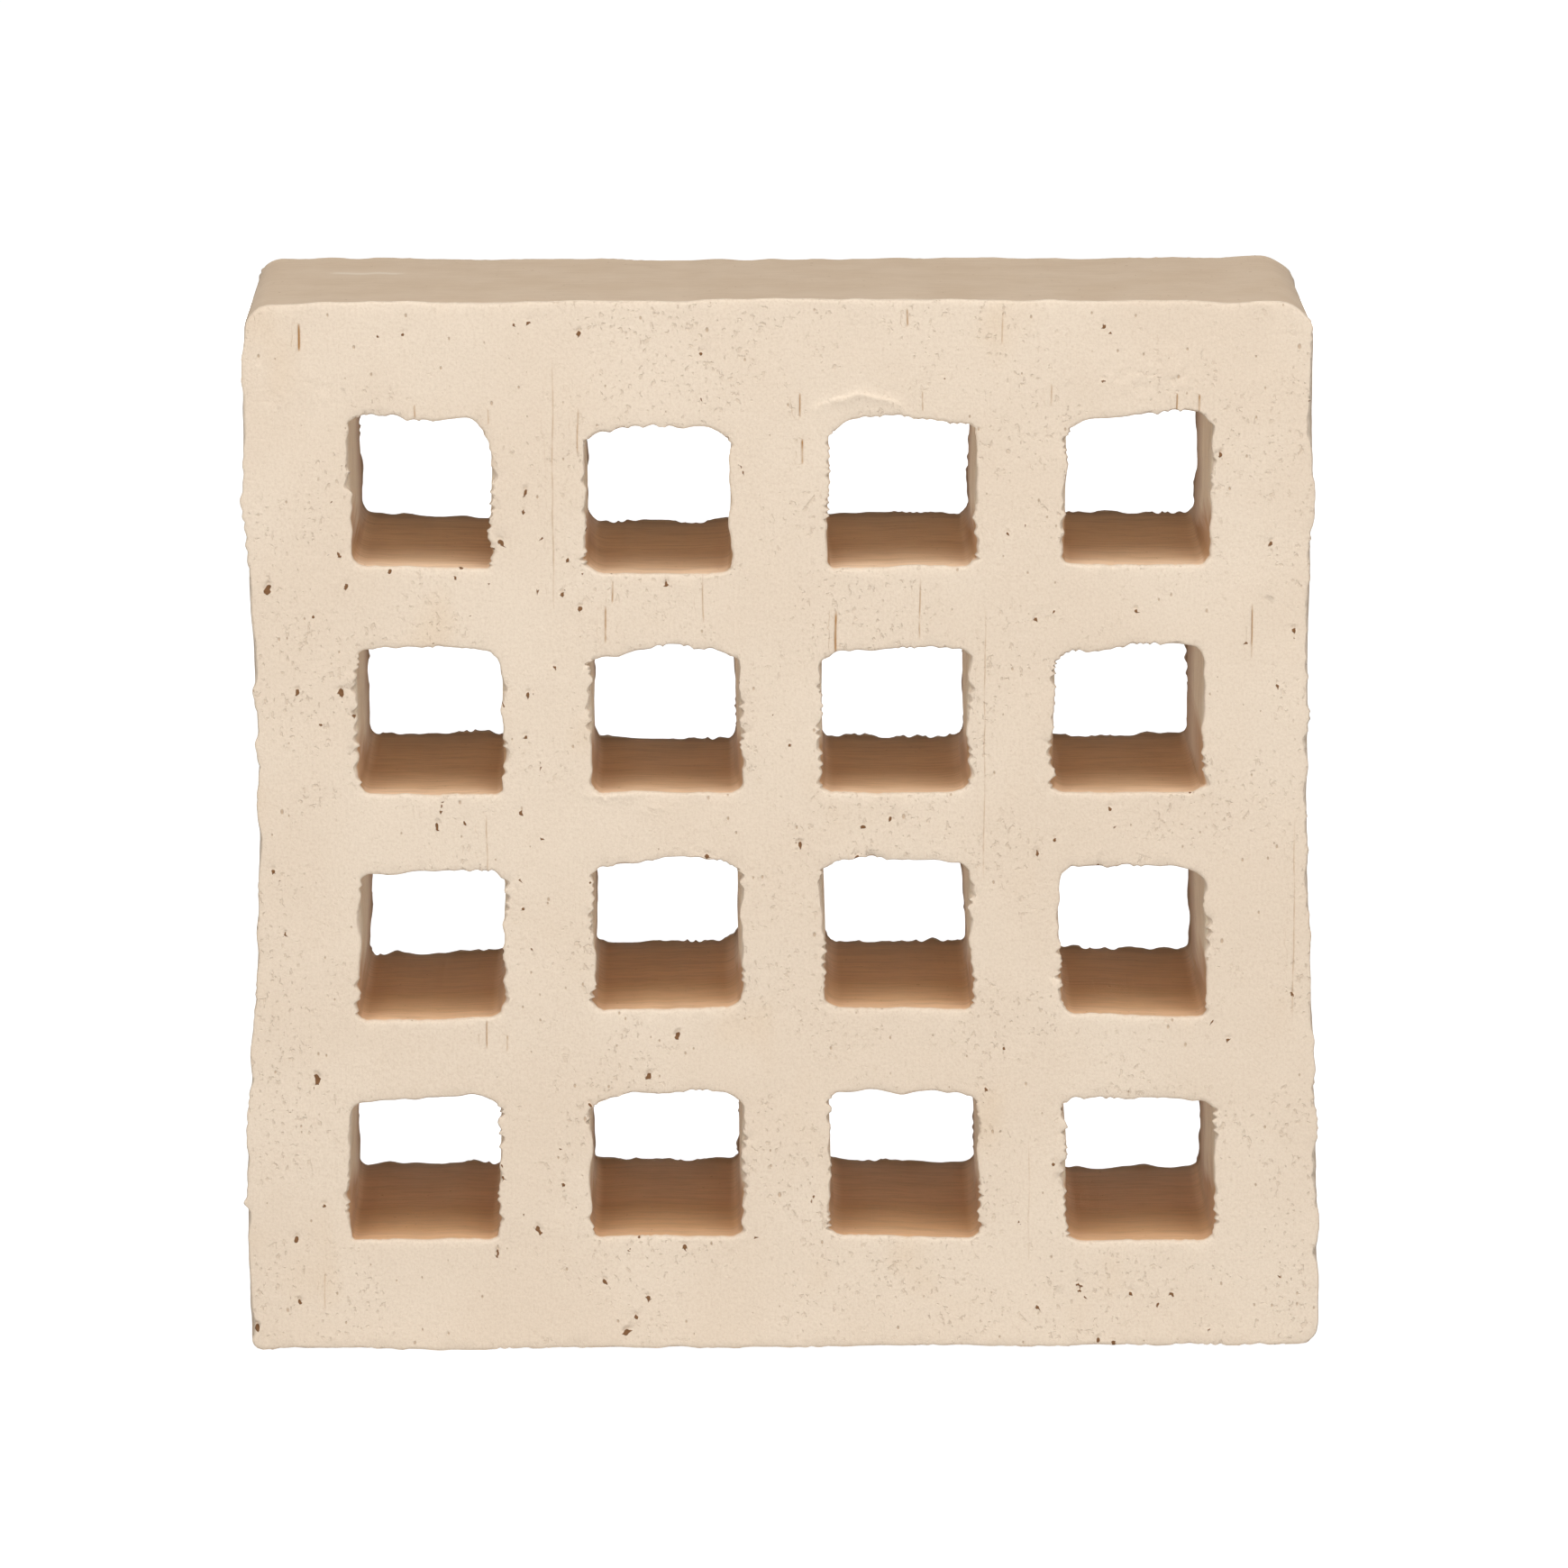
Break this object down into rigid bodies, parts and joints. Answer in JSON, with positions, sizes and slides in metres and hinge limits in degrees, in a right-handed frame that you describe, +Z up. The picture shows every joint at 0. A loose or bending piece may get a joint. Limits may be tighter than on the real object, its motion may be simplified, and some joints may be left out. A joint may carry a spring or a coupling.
{
  "type": "breeze block",
  "caption": "Square block of unglazed fired clay with a grid of square cells right through its depth, for screen walls.",
  "frame": {"origin": "middle of the bottom bed, the face the block stands on", "axes": "+X along the wall towards the right end, +Y through the wall from the front face to the back face, +Z up towards the top bed"},
  "size_m": [0.2, 0.06, 0.2],
  "materials": {
    "fired_clay": "matte, unglazed, with a fine sandy grain and wire-drag marks on the cut faces"
  },
  "bodies": {
    "root": {"breeze_block": "fired_clay"}
  },
  "joints": []
}
